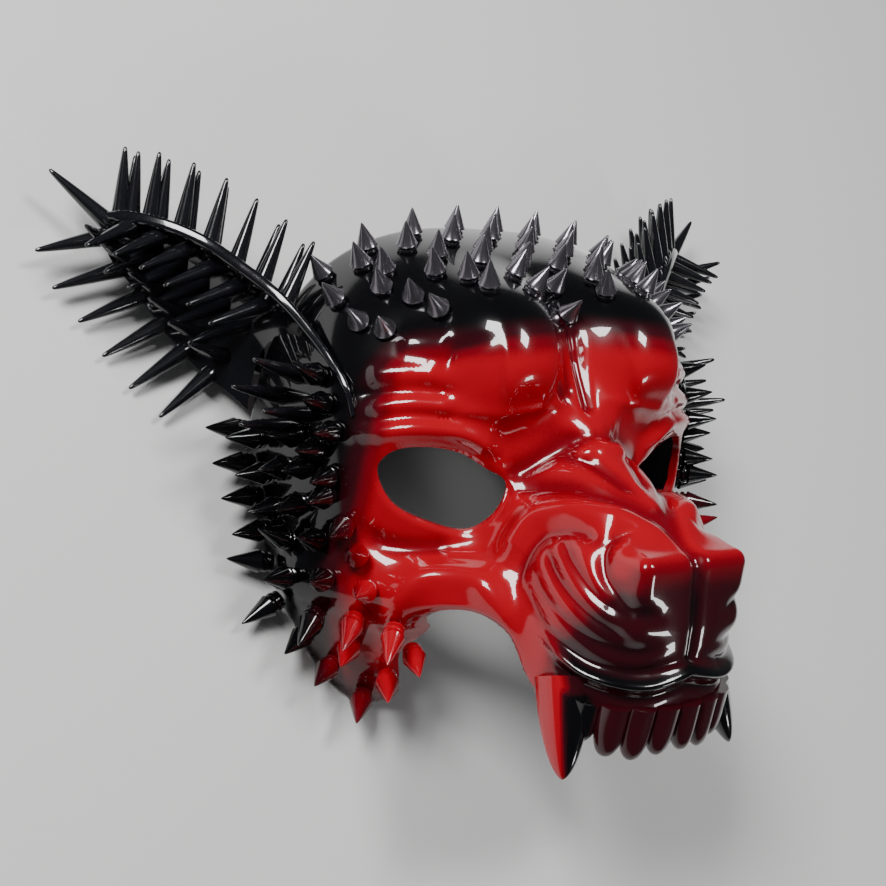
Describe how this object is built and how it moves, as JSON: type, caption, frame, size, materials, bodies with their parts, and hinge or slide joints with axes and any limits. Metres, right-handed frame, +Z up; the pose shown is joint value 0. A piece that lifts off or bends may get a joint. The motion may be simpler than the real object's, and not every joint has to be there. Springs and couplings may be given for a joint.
{
  "type": "wolf mask",
  "caption": "Half mask in the shape of a snarling wolf's head: glossy red shell with eye holes, open jaw with teeth, swept-back ears and cone studs.",
  "frame": {"origin": "middle of the mask's outline, on the ground that it lies on", "axes": "+Z up from the ground, +Y towards the forehead and ears, +X to the mask's own left side"},
  "size_m": [0.2846, 0.2128, 0.1086],
  "materials": {
    "lacquered_shell": "gloss lacquer, red airbrushed to black at the crown, the temples and the muzzle's front",
    "black_ear_shell": "gloss black lacquer",
    "lacquered_stud": "gloss, black at the back to dark red at the front"
  },
  "bodies": {
    "root": {"face_shell": "lacquered_shell", "ear_left": "black_ear_shell", "ear_right": "black_ear_shell", "cheek_stud_left_01": "lacquered_stud", "cheek_stud_left_02": "lacquered_stud", "cheek_stud_left_03": "lacquered_stud", "cheek_stud_left_04": "lacquered_stud", "cheek_stud_left_05": "lacquered_stud", "cheek_stud_left_06": "lacquered_stud", "cheek_stud_left_07": "lacquered_stud", "cheek_stud_left_08": "lacquered_stud", "cheek_stud_left_09": "lacquered_stud", "cheek_stud_left_10": "lacquered_stud", "cheek_stud_left_11": "lacquered_stud", "cheek_stud_left_12": "lacquered_stud", "cheek_stud_left_13": "lacquered_stud", "cheek_stud_left_14": "lacquered_stud", "cheek_stud_left_15": "lacquered_stud", "cheek_stud_left_16": "lacquered_stud", "cheek_stud_left_17": "lacquered_stud", "cheek_stud_left_18": "lacquered_stud", "cheek_stud_left_19": "lacquered_stud", "cheek_stud_left_20": "lacquered_stud", "cheek_stud_left_21": "lacquered_stud", "cheek_stud_left_22": "lacquered_stud", "cheek_stud_left_23": "lacquered_stud", "cheek_stud_left_24": "lacquered_stud", "cheek_stud_left_25": "lacquered_stud", "cheek_stud_left_26": "lacquered_stud", "cheek_stud_left_27": "lacquered_stud", "cheek_stud_left_28": "lacquered_stud", "cheek_stud_right_01": "lacquered_stud", "cheek_stud_right_02": "lacquered_stud", "cheek_stud_right_03": "lacquered_stud", "cheek_stud_right_04": "lacquered_stud", "cheek_stud_right_05": "lacquered_stud", "cheek_stud_right_06": "lacquered_stud", "cheek_stud_right_07": "lacquered_stud", "cheek_stud_right_08": "lacquered_stud", "cheek_stud_right_09": "lacquered_stud", "cheek_stud_right_10": "lacquered_stud", "cheek_stud_right_11": "lacquered_stud", "cheek_stud_right_12": "lacquered_stud", "cheek_stud_right_13": "lacquered_stud", "cheek_stud_right_14": "lacquered_stud", "cheek_stud_right_15": "lacquered_stud", "cheek_stud_right_16": "lacquered_stud", "cheek_stud_right_17": "lacquered_stud", "cheek_stud_right_18": "lacquered_stud", "cheek_stud_right_19": "lacquered_stud", "cheek_stud_right_20": "lacquered_stud", "cheek_stud_right_21": "lacquered_stud", "cheek_stud_right_22": "lacquered_stud", "cheek_stud_right_23": "lacquered_stud", "cheek_stud_right_24": "lacquered_stud", "cheek_stud_right_25": "lacquered_stud", "cheek_stud_right_26": "lacquered_stud", "cheek_stud_right_27": "lacquered_stud", "cheek_stud_right_28": "lacquered_stud"}
  },
  "joints": []
}
